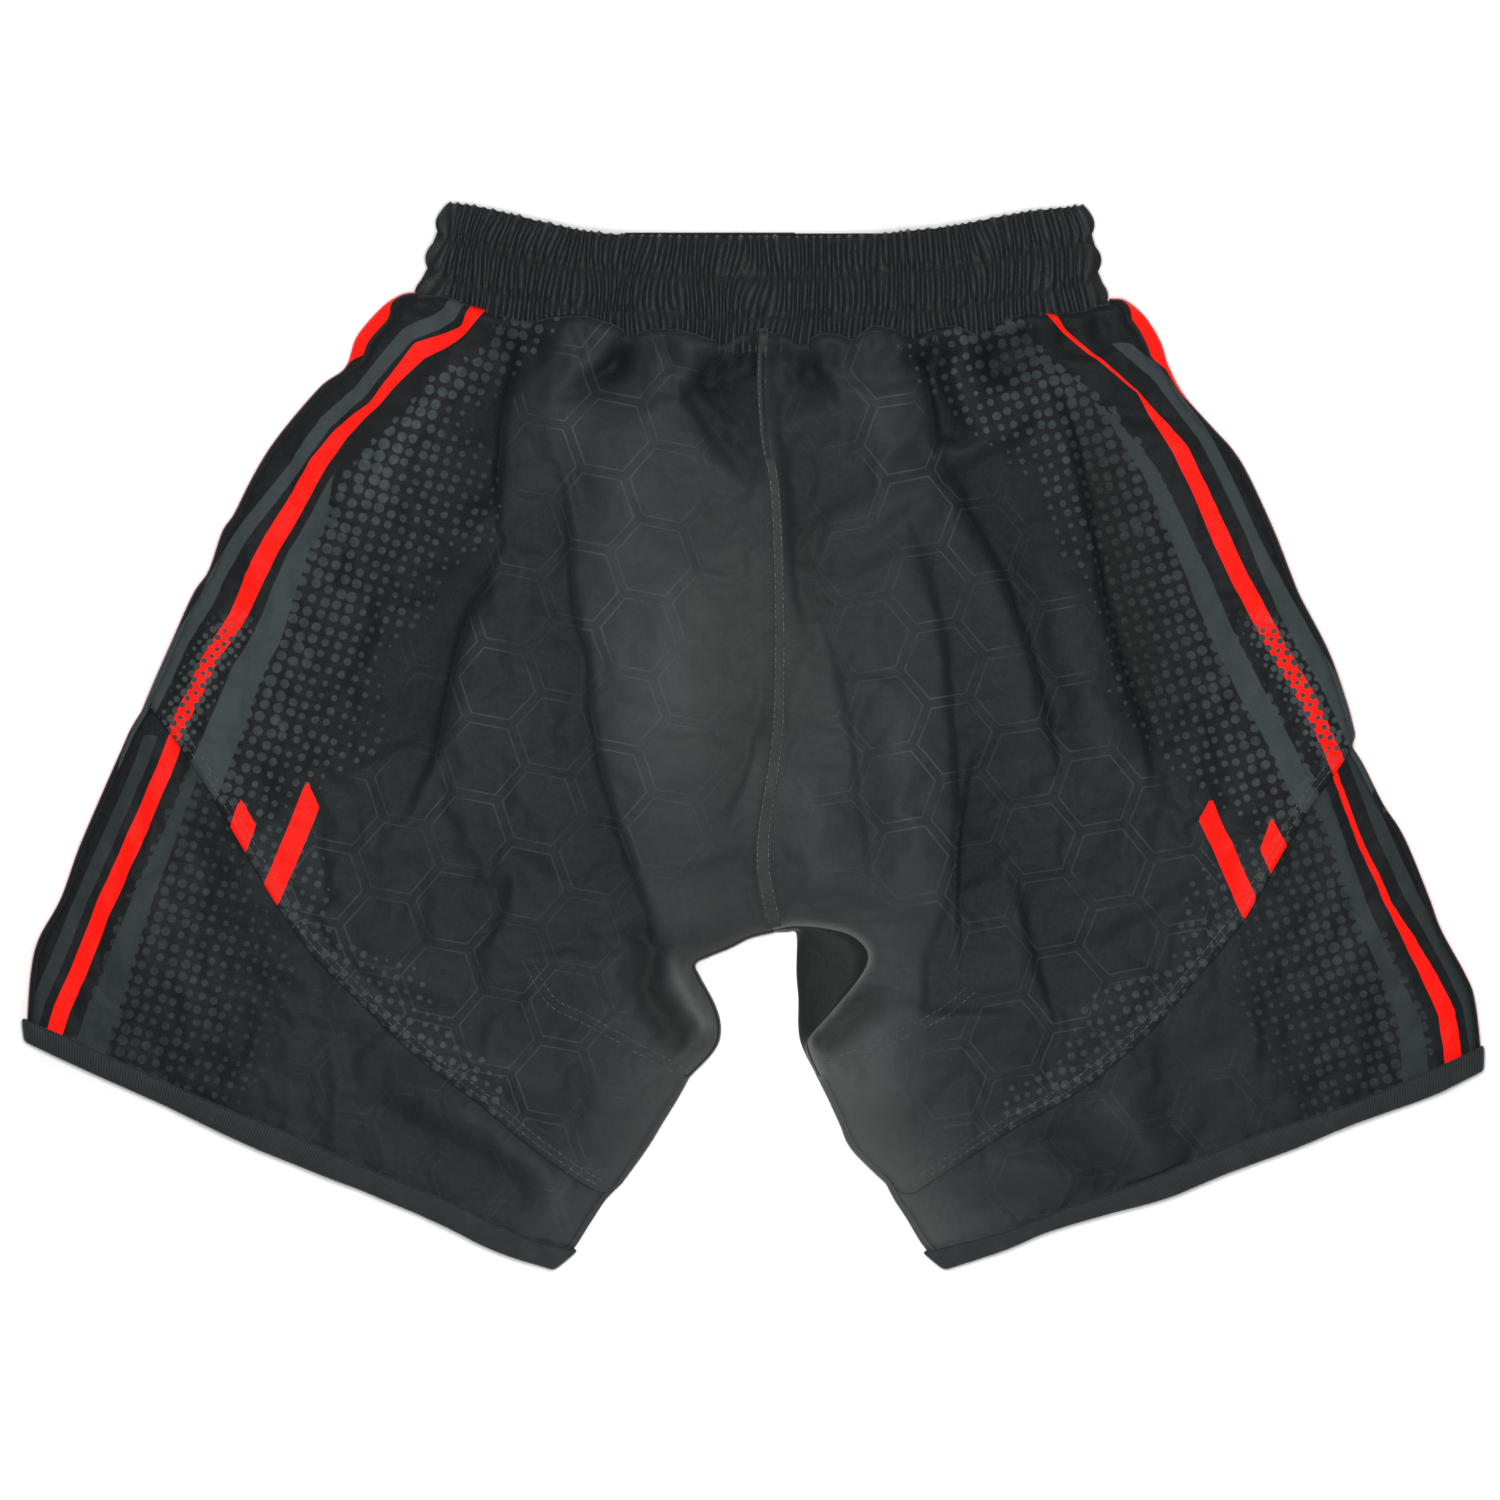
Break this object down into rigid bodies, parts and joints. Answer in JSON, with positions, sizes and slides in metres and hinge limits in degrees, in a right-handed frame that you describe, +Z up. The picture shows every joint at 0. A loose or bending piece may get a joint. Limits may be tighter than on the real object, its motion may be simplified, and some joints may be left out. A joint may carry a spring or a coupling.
{
  "type": "sports shorts",
  "caption": "Loose woven sports shorts with a gathered elastic waist, hook-and-loop front closure, curved overlay seams, side stripes and bound leg hems, laid flat on their front.",
  "frame": {"origin": "centre of the outline, on the surface that the shorts lie on", "axes": "+X to the right seen from above, +Y towards the waist, +Z up, out of the back of the shorts"},
  "size_m": [0.744, 0.546, 0.022],
  "materials": {
    "shell_fabric": "matt woven polyester with a tonal print",
    "hem_panel_fabric": "matt woven polyester with a tonal print",
    "side_fabric": "matt woven polyester with red, grey and black stripes",
    "gusset_fabric": "matt woven polyester",
    "waistband_fabric": "soft matt gathered fabric",
    "elastic": "braided elastic",
    "binding_knit": "ribbed knit tape",
    "hook_tape": "woven tape with moulded hooks",
    "loop_tape": "brushed loop tape",
    "seam_fabric": "felled seam with two rows of stitching"
  },
  "bodies": {
    "shorts": {"waistband_back_casing": "waistband_fabric", "waistband_elastic": "elastic", "waistband_front_left": "waistband_fabric", "waistband_front_right": "waistband_fabric", "loop_strip": "loop_tape", "left_back_panel": "shell_fabric", "right_back_panel": "shell_fabric", "left_front_panel": "shell_fabric", "right_front_panel": "shell_fabric", "left_side_panel": "side_fabric", "right_side_panel": "side_fabric", "left_gusset": "gusset_fabric", "right_gusset": "gusset_fabric", "left_back_hem_panel_top": "hem_panel_fabric", "right_back_hem_panel_top": "hem_panel_fabric", "left_front_hem_panel_top": "hem_panel_fabric", "right_front_hem_panel_top": "hem_panel_fabric", "centre_back_seam": "seam_fabric", "centre_front_seam": "seam_fabric", "fly_placket": "shell_fabric"},
    "left_leg": {"left_back_panel_lower": "shell_fabric", "left_front_panel_lower": "shell_fabric", "left_back_hem_panel": "hem_panel_fabric", "left_front_hem_panel": "hem_panel_fabric", "left_side_panel_lower": "side_fabric", "left_inseam": "shell_fabric", "left_hem_binding": "binding_knit"},
    "right_leg": {"right_back_panel_lower": "shell_fabric", "right_front_panel_lower": "shell_fabric", "right_back_hem_panel": "hem_panel_fabric", "right_front_hem_panel": "hem_panel_fabric", "right_side_panel_lower": "side_fabric", "right_inseam": "shell_fabric", "right_hem_binding": "binding_knit"},
    "closure": {"closure_flap": "waistband_fabric", "hook_strip": "hook_tape"}
  },
  "joints": [
    {"name": "left_leg_fold", "type": "hinge", "parent": "shorts", "child": "left_leg", "pos_m": [-0.1915, -0.1175, 0.018], "axis": [-0.9347, 0.3554, 0], "range_deg": [0, 160]},
    {"name": "right_leg_fold", "type": "hinge", "parent": "shorts", "child": "right_leg", "pos_m": [0.1915, -0.1175, 0.018], "axis": [-0.9347, -0.3554, 0], "range_deg": [0, 160]},
    {"name": "closure_flap_hinge", "type": "hinge", "parent": "shorts", "child": "closure", "pos_m": [0.04, 0.23, 0], "axis": [0, -1, 0], "range_deg": [0, 170]}
  ]
}
